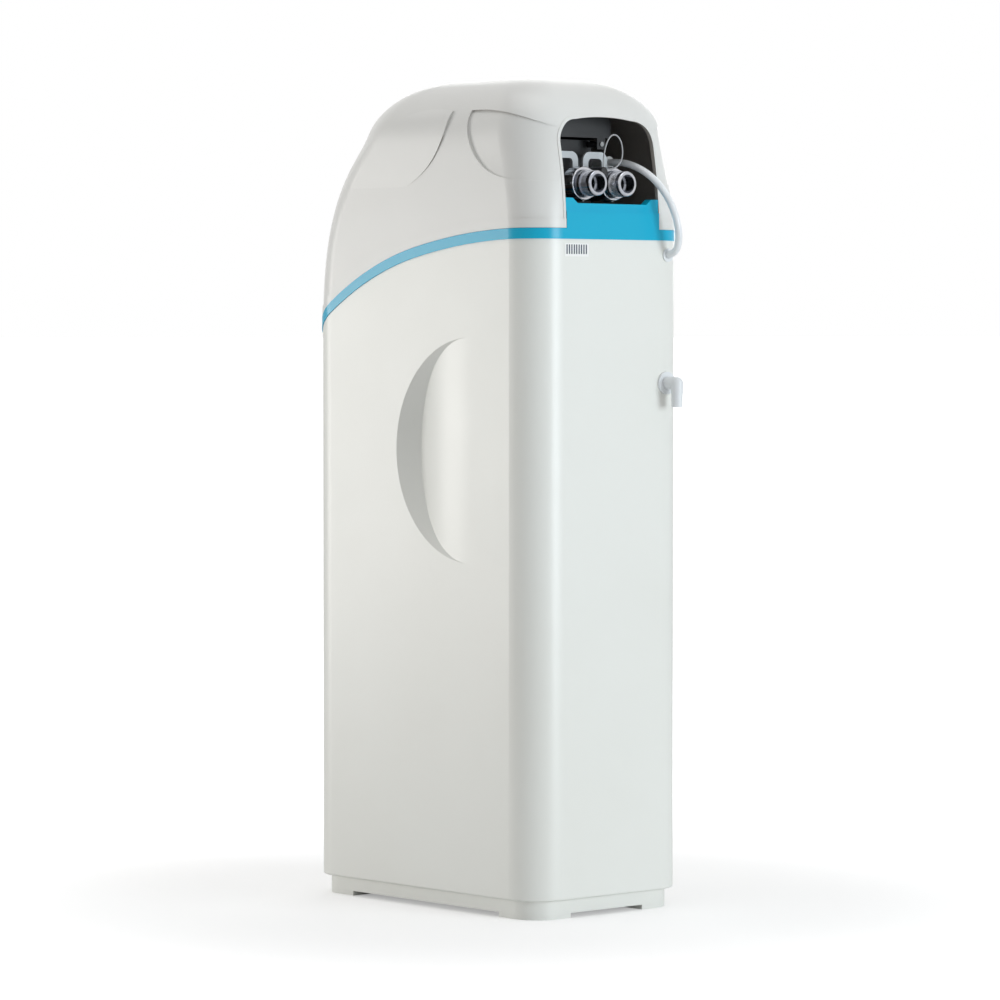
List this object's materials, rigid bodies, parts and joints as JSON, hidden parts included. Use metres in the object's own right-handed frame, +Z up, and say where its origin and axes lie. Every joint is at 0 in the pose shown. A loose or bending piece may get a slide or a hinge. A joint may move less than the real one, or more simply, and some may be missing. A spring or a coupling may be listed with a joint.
{
  "type": "water softener",
  "caption": "Tall one-piece-cabinet water softener with a lift-off hood over a metered valve, rear pipe stubs and a brine hose.",
  "frame": {"origin": "centre of the bounding box on the floor plane, hose and lead left out", "axes": "+Z up from the floor, +Y out of the rear face with the pipe stubs, +X toward the left side seen from the front"},
  "size_m": [0.2824, 0.4993, 1.11],
  "materials": {
    "white_side": "smooth satin white",
    "hood_white": "glossy white",
    "blue_band": "glossy cyan blue",
    "steel": "zinc plated",
    "label": "printed paper label",
    "grey_plastic": "light grey, moulded",
    "dark_rubber": "matte",
    "dark_plastic": "charcoal, fine grain",
    "vessel_grey": "wound fibre in resin",
    "inner_white": "white, moulded",
    "resin": "packed beads",
    "hose_white": "white tube",
    "sensor_black": "black, moulded",
    "chrome": "polished",
    "clip_grey": "light grey, moulded",
    "display": "dark clear window",
    "board_green": "lacquered board",
    "button_grey": "mid grey",
    "lead_grey": "thin jacket"
  },
  "bodies": {
    "base": {"cabinet_shell": "white_side", "trim_ring": "blue_band", "rear_label": "label", "overflow_bulkhead": "grey_plastic", "overflow_nut": "grey_plastic", "hose_grommet": "grey_plastic", "vessel_boot": "dark_plastic", "pressure_vessel": "vessel_grey", "riser_tube": "inner_white", "lower_basket": "inner_white", "upper_basket": "inner_white", "resin_bed": "resin", "salt_grid": "dark_plastic", "brine_well": "inner_white", "brine_well_cap": "inner_white", "float_valve": "inner_white", "pickup_tube": "inner_white", "brine_line": "hose_white", "valve_body": "dark_plastic", "seal_cage": "inner_white", "valve_end_cap": "dark_plastic", "drive_motor": "steel", "drive_bracket": "dark_plastic", "turbine_pin": "steel", "flow_sensor": "sensor_black", "stub_connector_left": "chrome", "stub_connector_right": "chrome", "stub_seals_left": "dark_rubber", "stub_seals_right": "dark_rubber", "union_nut_left": "chrome", "union_nut_right": "chrome", "retaining_clip_left": "clip_grey", "retaining_clip_right": "clip_grey", "control_housing": "dark_plastic", "housing_screws": "steel", "power_inlet": "sensor_black", "control_panel": "dark_plastic", "display_window": "display", "circuit_board": "board_green", "hose_fitting": "inner_white", "brine_hose": "hose_white", "sensor_lead": "lead_grey"},
    "hood_cover": {"hood": "hood_white", "lid_hinge_pin": "steel"},
    "lid": {"salt_lid": "hood_white"},
    "elbow": {"overflow_elbow": "grey_plastic"},
    "gear": {"drive_gear": "inner_white"},
    "pinion": {"motor_pinion": "inner_white"},
    "piston_rod": {"piston": "inner_white"},
    "turbine": {"meter_turbine": "inner_white"},
    "float": {"float_rod": "inner_white", "brine_float": "inner_white"},
    "key_1": {"button_1": "button_grey"},
    "key_2": {"button_2": "button_grey"},
    "key_3": {"button_3": "button_grey"},
    "key_4": {"button_4": "button_grey"}
  },
  "joints": [
    {"name": "hood_lift", "type": "slide", "parent": "base", "child": "hood_cover", "axis": [0, 0, 1], "range_m": [0, 0.42]},
    {"name": "lid_hinge", "type": "hinge", "parent": "hood_cover", "child": "lid", "pos_m": [0, -0.1184, 1.08841], "axis": [-1, 0, 0], "range_deg": [0, 100]},
    {"name": "overflow_swivel", "type": "hinge", "parent": "base", "child": "elbow", "pos_m": [-0.097, 0.2176, 0.705], "axis": [0, 1, 0], "range_deg": [-90, 90]},
    {"name": "gear_turn", "type": "hinge", "parent": "base", "child": "gear", "pos_m": [0, 0.0436, 1.003], "axis": [0, 1, 0], "range_deg": [0, 720]},
    {"name": "pinion_turn", "type": "hinge", "parent": "base", "child": "pinion", "pos_m": [0, 0.0436, 1.04815], "axis": [0, 1, 0], "range_deg": [-2881, 1]},
    {"name": "piston_slide", "type": "slide", "parent": "base", "child": "piston_rod", "axis": [0, 1, 0], "range_m": [0, 0.02401]},
    {"name": "turbine_spin", "type": "hinge", "parent": "base", "child": "turbine", "pos_m": [0.0265, 0.1176, 0.969], "axis": [0, 1, 0], "continuous": true},
    {"name": "float_rise", "type": "slide", "parent": "base", "child": "float", "axis": [0, 0, 1], "range_m": [0, 0.05]},
    {"name": "key_press_1", "type": "slide", "parent": "base", "child": "key_1", "axis": [0, 0.9666, -0.2563], "range_m": [0, 0.0012], "stiffness_N_per_m": 300},
    {"name": "key_press_2", "type": "slide", "parent": "base", "child": "key_2", "axis": [0, 0.9666, -0.2563], "range_m": [0, 0.0012], "stiffness_N_per_m": 300},
    {"name": "key_press_3", "type": "slide", "parent": "base", "child": "key_3", "axis": [0, 0.9666, -0.2563], "range_m": [0, 0.0012], "stiffness_N_per_m": 300},
    {"name": "key_press_4", "type": "slide", "parent": "base", "child": "key_4", "axis": [0, 0.9666, -0.2563], "range_m": [0, 0.0012], "stiffness_N_per_m": 300}
  ],
  "couplings": [
    {"joint": "pinion_turn", "follows": "gear_turn", "ratio": -4},
    {"joint": "piston_slide", "follows": "gear_turn", "m_per_rad": 0.0019099}
  ]
}
